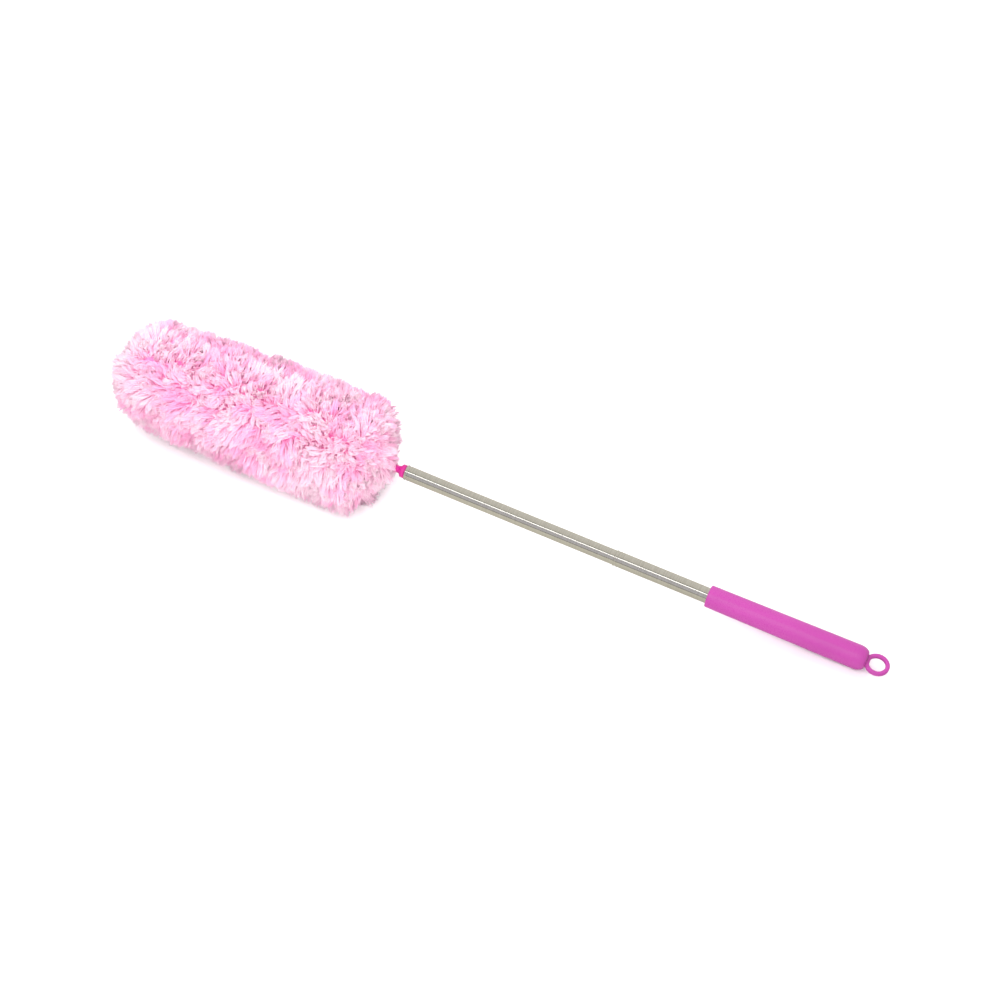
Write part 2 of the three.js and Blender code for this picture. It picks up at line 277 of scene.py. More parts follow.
def moulded_material(name, colour, shade, roughness, grain):
    """Polypropylene, injection-moulded against a finely blasted steel mould.

    The blasting gives a satin grain of about 0.3 mm, drawn 0.6 mm wide so that it shows, and the
    dyed resin flows into very slightly lighter and darker clouds.
    """
    material, tree, shader = new_material(name)
    clouds = add_node(
        tree,
        "ShaderNodeTexNoise",
        {"Scale": 1.0, "Detail": 3.0, "Roughness": 0.5},
        {"Vector": pole_coordinates(tree, (25, 90, 90))},
    )
    tint = set_stops(
        add_node(tree, "ShaderNodeValToRGB", links={"Fac": clouds.outputs["Fac"]}),
        [(0.3, linear(shade)), (0.7, linear(colour))],
    )
    grains = add_node(
        tree,
        "ShaderNodeTexNoise",
        {"Scale": 1.0, "Detail": 2.0, "Roughness": 0.6},
        {"Vector": pole_coordinates(tree, (1600, 1600, 1600))},
    )
    dullness = add_node(
        tree,
        "ShaderNodeMapRange",
        {"From Min": 0.3, "From Max": 0.7, "To Min": roughness - 0.04, "To Max": roughness + 0.05},
        {"Value": grains.outputs["Fac"]},
    )
    bump = add_node(
        tree,
        "ShaderNodeBump",
        {"Strength": grain, "Distance": 0.05 * MM},
        {"Height": grains.outputs["Fac"]},
    )
    shader.inputs["IOR"].default_value = 1.49
    tree.links.new(tint.outputs["Color"], shader.inputs["Base Color"])
    tree.links.new(dullness.outputs["Result"], shader.inputs["Roughness"])
    tree.links.new(bump.outputs["Normal"], shader.inputs["Normal"])
    return material


def worked_metal(name, light, dark, low, high, scale):
    """A plain worked metal: rolled spring brass for the liners, and zinc-dipped wire for the core.

    Rolling or dipping leaves streaks and spangle of the given scale, lighter and darker, with the
    dark ones duller.
    """
    material, tree, shader = new_material(name)
    streaks = add_node(
        tree,
        "ShaderNodeTexNoise",
        {"Scale": 1.0, "Detail": 4.0},
        {"Vector": pole_coordinates(tree, scale)},
    )
    tint = set_stops(
        add_node(tree, "ShaderNodeValToRGB", links={"Fac": streaks.outputs["Fac"]}),
        [(0.35, linear(dark)), (0.65, linear(light))],
    )
    dullness = add_node(
        tree,
        "ShaderNodeMapRange",
        {"From Min": 0.35, "From Max": 0.65, "To Min": high, "To Max": low},
        {"Value": streaks.outputs["Fac"]},
    )
    shader.inputs["Metallic"].default_value = 1.0
    tree.links.new(tint.outputs["Color"], shader.inputs["Base Color"])
    tree.links.new(dullness.outputs["Result"], shader.inputs["Roughness"])
    return material


# ------------------------------------------------------------------ pole pieces

steel = steel_material()
handle_plastic = moulded_material(
    "satin_moulded_polypropylene", "#AE3F96", "#A73A90", 0.29, 0.06
)
plug_plastic = moulded_material(
    "glossy_moulded_polypropylene", "#BA2280", "#AE1C76", 0.28, 0.05
)
brass = worked_metal("rolled_spring_brass", "#D8B76A", "#BF9A4E", 0.25, 0.4, (60, 900, 900))
zinc = worked_metal("zinc_dipped_wire", "#B9BDBE", "#8F9496", 0.35, 0.55, (500, 500, 500))


def tube(name, node, body, rolled_mouth, necked):
    """One section of the pole, with its thin wall, its mouth and the neck that holds its liner."""
    mouth, rear, radius = reach(node)
    drop = MOUTH_DROP if rolled_mouth else 0.0
    bore = radius - TUBE_WALL
    neck_end = rear - REAR_RIM
    neck_start = neck_end - NECK_LENGTH

    def neck(wall_radius):
        return [
            (neck_start, wall_radius),
            (neck_start + NECK_SLOPE, wall_radius - NECK_DEPTH),
            (neck_end - NECK_SLOPE, wall_radius - NECK_DEPTH),
            (neck_end, wall_radius),
        ]

    outer = radius - drop
    beads = MOUTH_BEADS if rolled_mouth else ((1.2, 0.0),)
    lip = outer + beads[0][1] - MOUTH_CURL
    outline = [
        (mouth, bore - drop),
        *quarter(mouth + MOUTH_CURL, lip, MOUTH_CURL, MOUTH_CURL, -60, 0, 6),
        *((mouth + along, outer + height) for along, height in beads),
        (mouth + MOUTH_LENGTH, radius),
        *(neck(radius) if necked else []),
        (rear, radius),
        (rear, bore),
        *(neck(bore)[::-1] if necked else []),
        (mouth + MOUTH_LENGTH, bore),
        (mouth + MOUTH_LENGTH - 2 * NECK_SLOPE, bore - drop),
        (mouth, bore - drop),
    ]
    made = lay_down(turned(name, outline))
    return finished(made, steel, body, "polished_steel", node)


def plug():
    """The neck plug: a flange by the tube, a cone that enters the pile, a shank in the tube."""
    tip, end, _ = reach("neck_plug")
    mouth = reach("inner_tube")[0]
    flange_back = mouth - FLANGE_GAP
    flange_front = flange_back - FLANGE_LENGTH
    front_centre = FLANGE_RADIUS - FLANGE_FRONT_ROUND
    back_centre = FLANGE_RADIUS - FLANGE_BACK_ROUND
    tip_along, tip_in = CONE_TIP_ROUND
    shank = reach("inner_tube")[2] - TUBE_WALL - SEAT_GAP
    outline = [
        (tip, 0.0),
        (tip, CONE_TIP_RADIUS - tip_in),
        (tip + tip_along, CONE_TIP_RADIUS),
        *quarter(
            flange_front - FLARE_LENGTH, FLARE_RADIUS, FLARE_LENGTH, -FLARE_DEPTH, 0, 80, 6
        ),
        *quarter(
            flange_front + FLANGE_FRONT_ROUND,
            front_centre,
            FLANGE_FRONT_ROUND,
            FLANGE_FRONT_ROUND,
            -80,
            0,
            6,
        ),
        *quarter(
            flange_back - FLANGE_BACK_ROUND,
            back_centre,
            FLANGE_BACK_ROUND,
            FLANGE_BACK_ROUND,
            0,
            90,
            5,
        ),
        (flange_back, shank),
        (end - SHANK_CHAMFER, shank),
        (end, shank - SHANK_CHAMFER),
        (end, 0.0),
    ]
    made = lay_down(turned("plug", outline, 72))
    return finished(made, plug_plastic, "head", "plug_plastic", "neck_plug")


def handle():
    """The grip: a long shell, thicker towards its back, with the ring moulded onto its end."""
    front, ring_end, radius = reach("handle_grip")
    ring_centre = ring_end - RING_HOLE_RADIUS - RING_WIDTH
    end = ring_centre - RING_HOLE_RADIUS - RING_WIDTH + RING_SUNK
    back = end - HANDLE_BACK_ROUND
    seat = reach("outer_tube")[2] + SEAT_GAP
    stop = back - STOP_BEFORE_BACK
    outline = [
        (stop + STOP_DEPTH, 0.0),
        (stop + STOP_DEPTH, seat - STOP_LEDGE),
        (stop, seat - STOP_LEDGE),
        (stop, seat),
        (front + SEAT_CHAMFER, seat),
        (front, seat + SEAT_CHAMFER),
        *quarter(
            front + HANDLE_FRONT_ROUND,
            HANDLE_FRONT_RADIUS - HANDLE_FRONT_ROUND,
            HANDLE_FRONT_ROUND,
            HANDLE_FRONT_ROUND,
            -90,
            0,
            6,
        ),
        *quarter(
            back, HANDLE_END_RADIUS, HANDLE_BACK_ROUND, radius - HANDLE_END_RADIUS, 0, 90, 12
        ),
        (end, 0.0),
    ]
    made = turned("handle", outline)

    bpy.ops.object.select_all(action="DESELECT")
    section_middle = RING_HOLE_RADIUS + RING_WIDTH / 2
    bpy.ops.mesh.primitive_plane_add(
        size=MM, location=((ring_centre + section_middle) * MM, 0, 0), rotation=(math.pi / 2, 0, 0)
    )
    ring = bpy.context.object
    ring.scale = (RING_WIDTH, RING_THICKNESS, 1)
    bpy.ops.object.transform_apply(location=True, rotation=True, scale=True)
    bpy.ops.object.mode_set(mode="EDIT")
    bpy.ops.mesh.select_all(action="SELECT")
    bpy.ops.mesh.bevel(offset=RING_ROUND * MM, segments=4, affect="VERTICES")
    bpy.ops.mesh.delete(type="ONLY_FACE")
    bpy.ops.mesh.select_all(action="SELECT")
    bpy.ops.mesh.spin(
        steps=72, angle=2 * math.pi, center=(ring_centre * MM, 0, 0), axis=(0, 0, 1)
    )
    bpy.ops.mesh.select_all(action="SELECT")
    bpy.ops.mesh.remove_doubles(threshold=0.002 * MM)
    bpy.ops.mesh.normals_make_consistent(inside=False)
    bpy.ops.object.mode_set(mode="OBJECT")

    bpy.ops.object.select_all(action="DESELECT")
    web_middle = end + WEB_LENGTH / 2 - WEB_SUNK
    bpy.ops.mesh.primitive_cube_add(size=MM, location=(web_middle * MM, 0, 0))
    web = bpy.context.object
    web.scale = (WEB_LENGTH, WEB_WIDTH, RING_THICKNESS - 0.3)
    bpy.ops.object.transform_apply(location=True, rotation=True, scale=True)
    bpy.ops.object.mode_set(mode="EDIT")
    bpy.ops.mesh.select_all(action="SELECT")
    bpy.ops.mesh.bevel(offset=WEB_ROUND * MM, segments=3)
    bpy.ops.object.mode_set(mode="OBJECT")

    for part in (ring, web):
        alone(made)
        union = made.modifiers.new("moulded_in_one", "BOOLEAN")
        union.operation = "UNION"
        union.solver = "EXACT"
        union.object = part
        bpy.ops.object.modifier_apply(modifier=union.name)
        bpy.data.objects.remove(part)
    bpy.ops.object.shade_smooth_by_angle(angle=math.radians(35))
    return finished(lay_down(made), handle_plastic, "handle", "handle_plastic", "handle_grip")


tube("tube_outer", "outer_tube", "handle", rolled_mouth=True, necked=False)
tube("tube_middle", "middle_tube", "middle_section", rolled_mouth=True, necked=True)
tube("tube_inner", "inner_tube", "head", rolled_mouth=False, necked=True)
plug()
handle()

for node_name, finish in {
    "middle_shim_upper": brass,
    "middle_shim_lower": brass,
    "inner_shim_upper": brass,
    "inner_shim_lower": brass,
    "core_wire_a": zinc,
    "core_wire_b": zinc,
    "core_tip_cap": plug_plastic,
}.items():
    cad_node = frame["nodes"][node_name]
    cad_node.data.materials.clear()
    cad_node.data.materials.append(finish)

# ------------------------------------------------------------------ pile

RANDOM = np.random.default_rng(20)
noise.seed_set(3)  # unseeded, this noise would start from the clock
COLUMNS = 64  # shades that a fibre may have, each one column of the pile's map

TUFTS = 8600
FIBRES = 11  # in each tuft
CLUMPS = 220
PIECES = 9

PILE_REACH = 6.0  # how far the loosest tips pass the CAD's far end
FAR_RADIUS = 53.0
MIDDLE_RADIUS = 57.5
NEAR_RADIUS = 58.0
FAR_DOME = 38.0
NEAR_DOME = 34.0
FAR_SAG = 4.5  # how far the tips hang below round, at the far end and at the neck
NEAR_SAG = 1.5
NECK_SHOWS = 12.0  # how far the near dome stays back from the pile's end
COLLAR = 10.5  # how far the locks next to the plug's cone pass that dome
COLLAR_RADIUS = 17.0
ROOT_SHARE = 0.66  # how far out from the core a tuft starts to show
GROUND_SHARE = 0.72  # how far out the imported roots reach
GROUND_STEP = 6  # the roots' outline takes every sixth point of the pile's
GROUND_OPENING = 4.9

CLUMP_PULL = 0.20  # how far a tuft leans towards the middle of its clump
BROAD_LEAN, BROAD_WAVE = 9.0, 34
FINE_LEAN, FINE_WAVE = 11.5, 9
TUFT_LEAN = 1.6
MIDDLE_SHADE = 0.46
BROAD_SHADE, BROAD_PATCH = 0.55, 27
FINE_SHADE, FINE_PATCH = 0.55, 12
TUFT_SHADE = 0.12
FIBRE_SHADE = 0.05
FAR_PALE, FAR_PALE_FROM, FAR_PALE_LENGTH = 0.52, 44, 40
NEAR_PALE, NEAR_PALE_FROM, NEAR_PALE_LENGTH = 0.30, 34, 25
TUFT_RADIUS = 1.8
FIBRE_RADII = (0.36, 0.55)  # drawn thicker than real ones, so that far fewer are enough

OPENING_RADIUS = 3.7  # round the plug's cone
OPENING_FROM = 34  # where it starts, back from the pile's near end, and how far it takes to open
OPENING_LENGTH = 26
FOOT_SOFTNESS = 4.0  # the height in which the pile flattens onto the ground
LOWEST_FIBRE = 0.4

RING_PLACES = np.array([0.0, 0.42, 0.80])
RING_WIDTHS = np.array([1.0, 1.0, 0.8])
OWN_NORMAL = 0.6  # how much a fibre's own roundness turns its shading, beside the body's


def pile_outline():
    """The pile's outline, far end to neck: along, radius, and where on the core it roots."""
    far, near, _ = reach("pile")
    far -= PILE_REACH
    near -= NECK_SHOWS
    angles = np.radians(np.linspace(90, 0, 80))
    far_centre, near_centre = far + FAR_DOME, near - NEAR_DOME
    body = np.linspace(far_centre, near_centre, 120)[1:-1]
    middle = (far_centre + near_centre) / 2
    body_radius = np.interp(
        body, [far_centre, middle, near_centre], [FAR_RADIUS, MIDDLE_RADIUS, NEAR_RADIUS]
    )
    along = np.concatenate(
        [
            far_centre - FAR_DOME * np.sin(angles),
            body,
            near_centre + NEAR_DOME * np.sin(angles[::-1]),
        ]
    )
    radius = np.concatenate(
        [FAR_RADIUS * np.cos(angles), body_radius, NEAR_RADIUS * np.cos(angles[::-1])]
    )
    along[-len(angles) :] += COLLAR * np.exp(-((radius[-len(angles) :] / COLLAR_RADIUS) ** 2))
    return along, radius, np.clip(along, far_centre, near_centre)


def spread_over(count, jitter):
    """Evenly spread places on the outline: their points, and the points on the core below them."""
    along, radius, root = pile_outline()
    lengths = np.hypot(np.diff(along), np.diff(radius))
    area = np.concatenate([[0], np.cumsum(lengths * (radius[1:] + radius[:-1]) / 2)])
    order = (np.arange(count) + 0.5 + RANDOM.uniform(-0.5, 0.5, count)) / count
    spacing = math.sqrt(2 * math.pi * area[-1] / count)
    at = np.clip(order, 0, 1) * area[-1]
    place_along = np.interp(at, area, along)
    place_radius = np.interp(at, area, radius)
    place_root = np.interp(at, area, root)
    turn = np.arange(count) * math.pi * (3 - math.sqrt(5))
    shift = RANDOM.uniform(-1, 1, count) * jitter * spacing
    turn = turn + shift / np.maximum(place_radius, spacing)
    out = np.stack([np.zeros(count), np.cos(turn), np.sin(turn)], 1)
    points = out * place_radius[:, None]
    points[:, 0] = place_along
    roots = np.zeros_like(points)
    roots[:, 0] = place_root
    return points, roots


def wander(points, size, seed):
    """A smooth random vector at each point, whose waves are about size millimetres long."""
    shift = Vector((seed * 17.3, seed * 5.1, seed * 9.7))
    return np.array([noise.noise_vector(Vector(p) / size + shift) for p in points])


def unit(vectors):
    return vectors / np.linalg.norm(vectors, axis=-1, keepdims=True)


def grow_pile():
    """Each fibre's line of points, radius, shade and outward direction, in the pole's frame."""
    tips, roots = spread_over(TUFTS, 0.8)
    clumps, _ = spread_over(CLUMPS, 0.9)
    nearest = np.argmin(((tips[:, None] - clumps[None]) ** 2).sum(-1), 1)
    straight = tips - roots
    depth = np.linalg.norm(straight, axis=1)
    out = straight / depth[:, None]
    side = unit(np.cross(out, [0.31, 0.0, 1.0]))
    over = np.cross(out, side)

    pull = clumps[nearest] - tips
    lean = (
        CLUMP_PULL * pull
        + BROAD_LEAN * wander(tips, BROAD_WAVE, 1)
        + FINE_LEAN * wander(tips, FINE_WAVE, 5)
    )
    lean += RANDOM.normal(0, TUFT_LEAN, tips.shape)
    lean -= out * (lean * out).sum(1, keepdims=True)
    long = RANDOM.uniform(0.93, 1.02, TUFTS) + 0.05 * wander(tips, 22, 2)[:, 0]
    shade = (
        MIDDLE_SHADE
        + BROAD_SHADE * wander(tips, BROAD_PATCH, 3)[:, 0]
        + FINE_SHADE * wander(tips, FINE_PATCH, 4)[:, 0]
        + RANDOM.normal(0, TUFT_SHADE, TUFTS)
    )
    far, near, _ = reach("pile")
    shade += FAR_PALE * np.clip((far + FAR_PALE_FROM - tips[:, 0]) / FAR_PALE_LENGTH, 0, 1)
    shade += NEAR_PALE * np.clip((tips[:, 0] - near + NEAR_PALE_FROM) / NEAR_PALE_LENGTH, 0, 1)
    phase = RANDOM.uniform(0, 2 * math.pi, TUFTS)
    waves = RANDOM.uniform(0.7, 1.5, TUFTS)

    shape = (TUFTS, FIBRES)
    share = np.sqrt(RANDOM.uniform(0, 1, shape))
    round_tuft = RANDOM.uniform(0, 2 * math.pi, shape)
    stray = 1 + 1.4 * (RANDOM.uniform(0, 1, shape) > 0.86)
    offset = share * stray
    offset = (
        offset[..., None] * np.cos(round_tuft)[..., None] * side[:, None]
        + offset[..., None] * np.sin(round_tuft)[..., None] * over[:, None]
    )
    length = long[:, None] * (1 - 0.09 * RANDOM.uniform(0, 1, shape) ** 2)
    places = np.append(RING_PLACES, 1.0)
    sag = np.interp(tips[:, 0], [far, near], [FAR_SAG, NEAR_SAG])[:, None]
    lines = np.empty((*shape, len(places), 3))
    for i, t in enumerate(places):
        radial = depth[:, None] * (ROOT_SHARE + (length - ROOT_SHARE) * t)
        spread = TUFT_RADIUS * (1 + 0.25 * math.sin(math.pi * t)) * (1 - 0.35 * t**2)
        wave = 1.0 * t * np.sin(phase[:, None] + 2 * math.pi * waves[:, None] * t)
        own = RANDOM.normal(0, 0.2 + 0.25 * t, (*shape, 3))
        lines[:, :, i] = (
            roots[:, None]
            + out[:, None] * radial[..., None]
            + lean[:, None] * t**1.7
            + offset * spread
            + side[:, None] * wave[..., None]
            + own
        )
        lines[:, :, i, 2] -= sag * (0.4 + 0.6 * t)
    width = RANDOM.uniform(*FIBRE_RADII, shape)
    fibre_shade = np.clip(shade[:, None] + RANDOM.normal(0, FIBRE_SHADE, shape), 0, 0.999)
    return lines, width, fibre_shade, np.repeat(out[:, None], FIBRES, 1)


def clear_neck(points):
    """Keeps the fibres out of the opening that the plug's cone stands in."""
    near = reach("pile")[1]
    share = np.clip((points[..., 0] - near + OPENING_FROM) / OPENING_LENGTH, 0, 1)
    clear = OPENING_RADIUS * share * share * (3 - 2 * share)
    radius = np.hypot(points[..., 1], points[..., 2])
    scale = np.sqrt(radius**2 + clear**2) / np.maximum(radius, 1e-6)
    points[..., 1:] *= scale[..., None]
    return points


def rested(points):
    """Presses what would pass the ground flat onto it. Points are where they lie, in metres."""
    soft = FOOT_SOFTNESS * MM
    height = points[..., 2]
    low = height < soft
    pressed = soft * np.exp(np.minimum(height - soft, 0) / soft)
    points[..., 2] = np.where(low, np.maximum(pressed, LOWEST_FIBRE * MM), height)
    return points


def pile_piece(name, lines, width, shade, outward):
    """One mesh of closed, three-sided, tapered fibres.

    Their shading normals lean outwards from the core, as the light that soaks through brushed pile
    makes it look: a soft body, and not a bundle of wires.
    """
    count = len(lines)
    rings = len(RING_PLACES)
    ahead = unit(np.gradient(lines, axis=1))
    side = unit(np.cross(ahead, [0.2, 0.5, 1.0]))
    over = np.cross(ahead, side)
    spin = RANDOM.uniform(0, 2 * math.pi, count)
    points = np.empty((count, rings * 3 + 1, 3))
    normals = np.repeat(outward[:, None], rings * 3 + 1, 1)
    for ring in range(rings):
        for corner in range(3):
            angle = spin + corner * 2 * math.pi / 3
            edge = np.cos(angle)[:, None] * side[:, ring] + np.sin(angle)[:, None] * over[:, ring]
            points[:, ring * 3 + corner] = (
                lines[:, ring] + edge * (width * RING_WIDTHS[ring])[:, None]
            )
            normals[:, ring * 3 + corner] += edge * OWN_NORMAL
    points[:, -1] = lines[:, -1]
    points = clear_neck(points)
    turn = np.array(POLE.to_3x3())
    points = rested(points * MM @ turn.T + np.array(POLE.translation))

    quads, quad_uv, heights = [], [], np.append(RING_PLACES, 1.0)
    tris, tri_uv = [(2, 1, 0)], [((0.1, 0.0), (0.5, 0.03), (0.9, 0.0))]
    for corner in range(3):
        next_corner = (corner + 1) % 3
        left, right = 0.1 + 0.8 * corner / 3, 0.1 + 0.8 * (corner + 1) / 3
        for ring in range(rings - 1):
            low, high = ring * 3, ring * 3 + 3
            quads.append((low + corner, low + next_corner, high + next_corner, high + corner))
            v0, v1 = heights[ring], heights[ring + 1]
            quad_uv.append(((left, v0), (right, v0), (right, v1), (left, v1)))
        last = rings * 3 - 3
        tris.append((last + corner, last + next_corner, rings * 3))
        v0 = heights[-2]
        tri_uv.append(((left, v0), (right, v0), ((left + right) / 2, 1.0)))

    per_fibre = rings * 3 + 1
    base = (np.arange(count) * per_fibre)[:, None]
    column = np.floor(shade * COLUMNS)[:, None, None]

    def corners(faces, uvs):
        index = (base + np.array(faces).ravel()[None]).ravel()
        uv = np.array(uvs).reshape(-1, 2)[None].repeat(count, 0)
        uv[..., 0] = (column[..., 0] + uv[..., 0]) / COLUMNS
        return index, uv.reshape(-1, 2)

    quad_index, quad_map = corners(quads, quad_uv)
    tri_index, tri_map = corners(tris, tri_uv)
    sizes = np.concatenate([np.full(count * len(quads), 4), np.full(count * len(tris), 3)])
    starts = np.concatenate([[0], np.cumsum(sizes)[:-1]])
    mesh = bpy.data.meshes.new(name)
    mesh.vertices.add(count * per_fibre)
    mesh.vertices.foreach_set("co", points.astype(np.float32).ravel())
    mesh.loops.add(len(quad_index) + len(tri_index))
    loop_index = np.concatenate([quad_index, tri_index]).astype(np.int32)
    mesh.loops.foreach_set("vertex_index", loop_index)
    mesh.polygons.add(len(sizes))
    mesh.polygons.foreach_set("loop_start", starts.astype(np.int32))
    mesh.polygons.foreach_set("use_smooth", np.ones(len(sizes), bool))
    mesh.update(calc_edges=True)
    mesh.normals_split_custom_set_from_vertices(unit(normals).reshape(-1, 3) @ turn.T)
    layer = mesh.uv_layers.new(name="OFBake")
    layer.data.foreach_set("uv", np.concatenate([quad_map, tri_map]).astype(np.float32).ravel())
    made = bpy.data.objects.new(name, mesh)
    bpy.context.scene.collection.objects.link(made)
    return made


def pile_material():
    """Polyester microfibre yarn, brushed open into plush and dip-dyed.

    Each fibre is deepest pink at its root and pales towards its tip: partly the dye, and partly
    painted shade for the depths between the locks. The columns of the map run from fully pink
    fibres to nearly undyed ones. Brushed plush has no gloss, only a soft sheen.
    """
    material, tree, shader = new_material("dyed_microfibre_plush_with_painted_root_shade")
    place = add_node(tree, "ShaderNodeUVMap", uv_map="OFBake")
    parts = add_node(tree, "ShaderNodeSeparateXYZ", links={"Vector": place.outputs["UV"]})
    mottle = add_node(
        tree,
        "ShaderNodeTexNoise",
        {"Scale": 9.0, "Detail": 3.0, "Roughness": 0.7},
        {"Vector": place.outputs["UV"]},
    )
    height = add_node(
        tree,
        "ShaderNodeMath",
        {1: 0.2, 2: -0.1},
        {0: mottle.outputs["Fac"]},
        operation="MULTIPLY_ADD",
    )
    height = add_node(
        tree,
        "ShaderNodeMath",
        links={0: height.outputs[0], 1: parts.outputs["Y"]},
        operation="ADD",
    )
    # Both ramps run deeper pink towards the root: partly the dye, partly painted shade that keeps
    # the pile's depths pink.
    pink = set_stops(
        add_node(tree, "ShaderNodeValToRGB", links={"Fac": height.outputs[0]}),
        [
            (0.0, linear("#FF86C2")),
            (0.35, linear("#FF9CCE")),
            (0.7, linear("#FFAAD4")),
            (1.0, linear("#FFB6DB")),
        ],
    )
    pale = set_stops(
        add_node(tree, "ShaderNodeValToRGB", links={"Fac": height.outputs[0]}),
        [
            (0.0, linear("#FF98CA")),
            (0.4, linear("#FFBEDC")),
            (0.7, linear("#FDD3E5")),
            (1.0, linear("#F9DFEA")),
        ],
    )
    share = set_stops(
        add_node(tree, "ShaderNodeValToRGB", links={"Fac": parts.outputs["X"]}),
        [(0.15, (0, 0, 0, 1)), (0.85, (1, 1, 1, 1))],
    )
    dyed = add_node(
        tree,
        "ShaderNodeMixRGB",
        links={
            "Fac": share.outputs["Color"],
            "Color1": pink.outputs["Color"],
            "Color2": pale.outputs["Color"],
        },
    )
    tree.links.new(dyed.outputs["Color"], shader.inputs["Base Color"])
    shader.inputs["Roughness"].default_value = 0.75
    shader.inputs["Specular IOR Level"].default_value = 0.25
    shader.inputs["Sheen Weight"].default_value = 0.35
    shader.inputs["Sheen Roughness"].default_value = 0.4
    shader.inputs["Sheen Tint"].default_value = linear("#FFCBE6")
    return material


def pile_ground_material():
    """The matted roots of the same plush, where the fibres are packed, in a deeper pink: partly the
    dye, partly painted shade for the depths between the locks.
    """
    material, tree, shader = new_material("matted_microfibre_roots_with_painted_shade")
    mat = add_node(
        tree,
        "ShaderNodeTexNoise",
        {"Scale": 1.0, "Detail": 5.0, "Roughness": 0.65},
        {"Vector": pole_coordinates(tree, (140, 140, 140))},
    )
    # Deep pink: partly the dye of packed roots, partly painted shade for the depths between the
    # locks.
    tint = set_stops(
        add_node(tree, "ShaderNodeValToRGB", links={"Fac": mat.outputs["Fac"]}),
        [(0.3, linear("#FF70B8")), (0.7, linear("#FFA4D2"))],
    )
    bump = add_node(
        tree,
        "ShaderNodeBump",
        {"Strength": 0.6, "Distance": 2 * MM},
        {"Height": mat.outputs["Fac"]},
    )
    tree.links.new(tint.outputs["Color"], shader.inputs["Base Color"])
    tree.links.new(bump.outputs["Normal"], shader.inputs["Normal"])
    shader.inputs["Roughness"].default_value = 0.9
    return material


def pile_ground():
    """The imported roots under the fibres, one closed body with an opening for the plug's cone."""
    along, radius, root = pile_outline()
    keep = slice(0, None, GROUND_STEP)
    outline = [
        (r + (a - r) * GROUND_SHARE, w * GROUND_SHARE)
        for a, w, r in zip(along[keep], radius[keep], root[keep])
    ]
    outline = [(a, w) for a, w in outline if w > 0.5]
    start, end = outline[0][0], outline[-1][0]
    outline = [(start - 0.2, 0.0), *outline, (end, GROUND_OPENING), (end, 0.0)]
    made = lay_down(turned("pile_ground", outline, 64, 180))
    places = np.empty(len(made.data.vertices) * 3, np.float32)
    made.data.vertices.foreach_get("co", places)
    places = rested(places.reshape(-1, 3).astype(float))
    made.data.vertices.foreach_set("co", places.astype(np.float32).ravel())
    return finished(made, pile_ground_material(), "head", "pile_fibre", "pile")


plush = pile_material()
lines, width, shade, outward = grow_pile()
order = np.argsort(lines[:, :, -1, 0].mean(1))
for number, tufts in enumerate(np.array_split(order, PIECES), 1):
    piece = pile_piece(
        f"pile_{number}",
        lines[tufts].reshape(-1, len(RING_PLACES) + 1, 3),
        width[tufts].ravel(),
        shade[tufts].ravel(),
        outward[tufts].reshape(-1, 3),
    )
    finished(piece, plush, "head", "pile_fibre", "pile")
pile_ground()

# ------------------------------------------------------------------ stage, light and camera

bpy.ops.object.select_all(action="DESELECT")
bpy.ops.mesh.primitive_circle_add(
    vertices=96, radius=6.0, fill_type="NGON", location=(0, 0, -0.3 * MM)
)
floor = bpy.context.object
floor.name = "floor"
floor_material, tree, shader = new_material("matt_white_board_dark_in_painted_reflection")
speckle = add_node(tree, "ShaderNodeTexNoise", {"Scale": 40.0, "Detail": 3.0})
coordinates = add_node(tree, "ShaderNodeTexCoord")
tree.links.new(coordinates.outputs["Object"], speckle.inputs["Vector"])
tint = set_stops(
    add_node(tree, "ShaderNodeValToRGB", links={"Fac": speckle.outputs["Fac"]}),
    [(0.3, linear("#F7F7F7")), (0.7, linear("#FAFAFA"))],
)
# Painted reflection: rays from gloss see the floor in a darker beige, so the steel mirrors a darker
# floor than the camera sees.
ray = add_node(tree, "ShaderNodeLightPath")
floor_tint_and_painted_reflection = add_node(
    tree,
    "ShaderNodeMixRGB",
    {"Color2": linear("#AAA99D")},  # painted reflection: gloss rays see the floor in this darker beige
    {"Fac": ray.outputs["Is Glossy Ray"], "Color1": tint.outputs["Color"]},
)
tree.links.new(floor_tint_and_painted_reflection.outputs["Color"], shader.inputs["Base Color"])
shader.inputs["Roughness"].default_value = 0.9
floor.data.materials.append(floor_material)

AMBIENT = (0.78, 0.75, 0.76, 1)
BACKDROP = (0.80, 0.80, 0.80, 1)

# The studio seen round the pole, from the front horizon (0) over the top (0.25) to the back (0.5).
world = bpy.data.worlds.new("studio")
bpy.context.scene.world = world
world.use_nodes = True
tree = world.node_tree
tree.nodes.clear()
direction = add_node(tree, "ShaderNodeTexCoord")
parts = add_node(tree, "ShaderNodeSeparateXYZ", links={"Vector": direction.outputs["Generated"]})
front = add_node(
    tree, "ShaderNodeMath", {1: -1.0}, {0: parts.outputs["Y"]}, operation="MULTIPLY"
)
angle = add_node(
    tree, "ShaderNodeMath", links={0: parts.outputs["Z"], 1: front.outputs[0]}, operation="ARCTAN2"
)
share = add_node(
    tree, "ShaderNodeMath", {1: 1 / (2 * math.pi)}, {0: angle.outputs[0]}, operation="MULTIPLY"
)
studio = set_stops(
    add_node(tree, "ShaderNodeValToRGB", links={"Fac": share.outputs[0]}),
    [
        (0.0, (0.30, 0.30, 0.26, 1)),
        (0.018, (0.32, 0.32, 0.29, 1)),
        (0.035, (0.62, 0.60, 0.64, 1)),
        (0.145, (0.56, 0.55, 0.58, 1)),
        (0.192, (0.22, 0.22, 0.21, 1)),
        (0.212, (0.30, 0.30, 0.28, 1)),
        (0.235, (0.70, 0.68, 0.62, 1)),
        (0.5, (0.80, 0.78, 0.73, 1)),
    ],
)
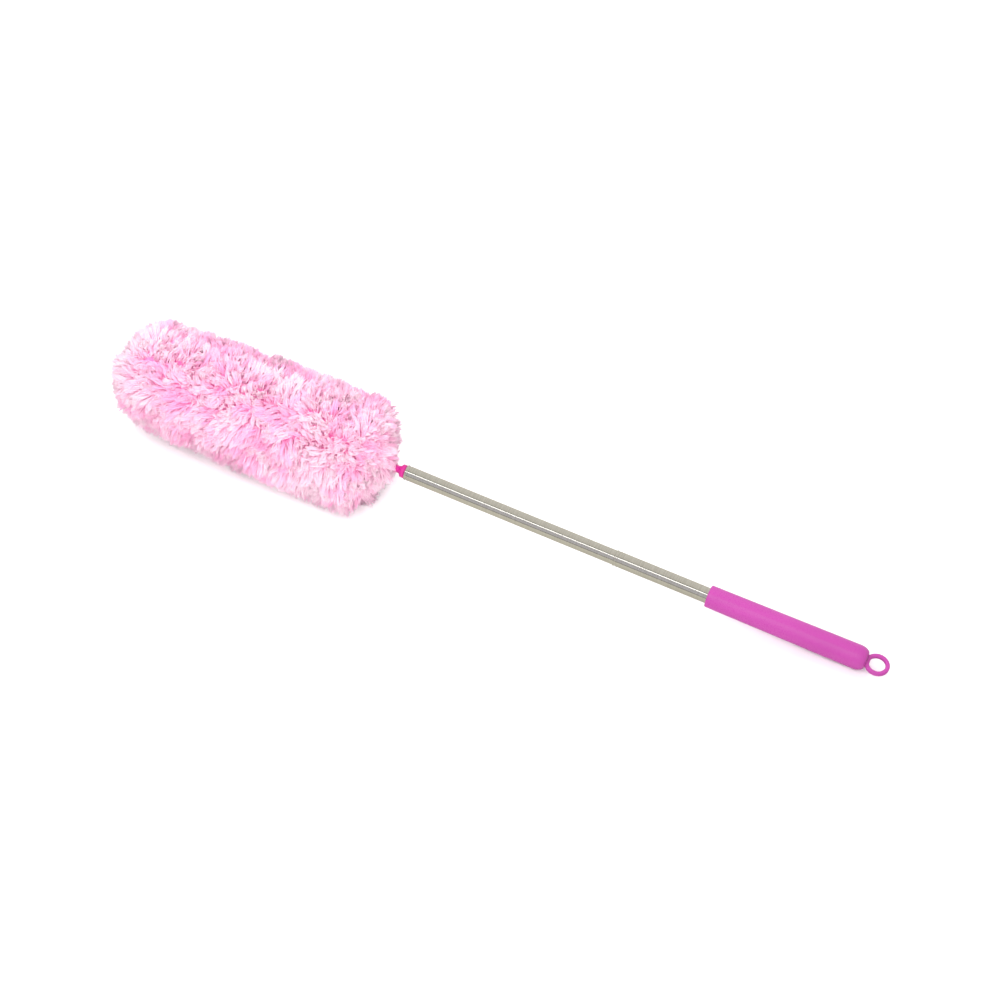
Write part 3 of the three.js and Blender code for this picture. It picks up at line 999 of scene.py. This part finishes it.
ray = add_node(tree, "ShaderNodeLightPath")
lighting = add_node(
    tree,
    "ShaderNodeMixRGB",
    {"Color1": AMBIENT},
    {"Fac": ray.outputs["Is Glossy Ray"], "Color2": studio.outputs["Color"]},
)
mixed = add_node(
    tree,
    "ShaderNodeMixRGB",
    {"Color2": BACKDROP},
    {"Fac": ray.outputs["Is Camera Ray"], "Color1": lighting.outputs["Color"]},
)
background = add_node(tree, "ShaderNodeBackground", links={"Color": mixed.outputs["Color"]})
add_node(tree, "ShaderNodeOutputWorld", links={"Surface": background.outputs["Background"]})


def studio_light(name, light, faces, elevation, turned_by, distance, watts, mirrored=False):
    """Hangs a lamp so that it faces a place along the pole. mirrored: gloss shows it."""
    light.energy = watts
    made = bpy.data.objects.new(name, light)
    bpy.context.scene.collection.objects.link(made)
    a = math.radians(elevation)
    b = math.radians(turned_by)
    back = Vector((math.sin(b) * math.cos(a), -math.cos(b) * math.cos(a), math.sin(a)))
    made.location = POLE @ Vector((faces * MM, 0, 0)) + back * distance
    made.rotation_euler = back.to_track_quat("Z", "Y").to_euler()
    made.visible_glossy = mirrored
    made.visible_camera = False


def softbox(width, height):
    """A rectangular soft lamp."""
    light = bpy.data.lights.new("softbox", "AREA")
    light.shape = "RECTANGLE"
    light.size, light.size_y = width, height
    return light


def hooded_lamp(angle, lamp_radius):
    """A soft lamp in a hood that keeps its light within an angle."""
    light = bpy.data.lights.new("hooded_lamp", "SPOT")
    light.spot_size = math.radians(angle)
    light.spot_blend = 0.6
    light.shadow_soft_size = lamp_radius
    return light


studio_light("strip_light", softbox(3.2, 0.32), 90, 63.5, 0, 2.0, 8, mirrored=True)
studio_light("head_light", softbox(1.1, 1.1), -150, 50, 14, 1.15, 9.0)
studio_light("end_light", hooded_lamp(24, 0.3), -60, 28, 66, 1.3, 38)
studio_light("back_light", softbox(1.6, 1.6), -80, 50, 196, 1.8, 27)
studio_light("low_light", hooded_lamp(24, 0.35), -150, 14, 2, 1.8, 36)

CAMERA_ELEVATION = math.radians(51)
CAMERA_TURN = math.radians(24.61)
LENS = 75.6
AIM_ALONG = 250.1  # millimetres along the pole
DISTANCE, TO_LEFT, TO_ABOVE = 1.826, 0.1428, 0.06765  # from that place, in metres
back = Vector(
    (
        math.sin(CAMERA_TURN) * math.cos(CAMERA_ELEVATION),
        -math.cos(CAMERA_TURN) * math.cos(CAMERA_ELEVATION),
        math.sin(CAMERA_ELEVATION),
    )
)
right = Vector((math.cos(CAMERA_TURN), math.sin(CAMERA_TURN), 0))
above = back.cross(right)
aim = POLE @ Vector((AIM_ALONG * MM, 0, 0))
camera = bpy.data.objects.new("camera", bpy.data.cameras.new("camera"))
bpy.context.scene.collection.objects.link(camera)
camera.data.lens = LENS
camera.data.sensor_width = 36.0
camera.data.clip_start = 0.05
camera.matrix_world = Matrix.Translation(
    aim + DISTANCE * back - TO_LEFT * right + TO_ABOVE * above
) @ Matrix((right, above, back)).transposed().to_4x4()
bpy.context.scene.camera = camera
bpy.context.scene.view_settings.view_transform = "Standard"
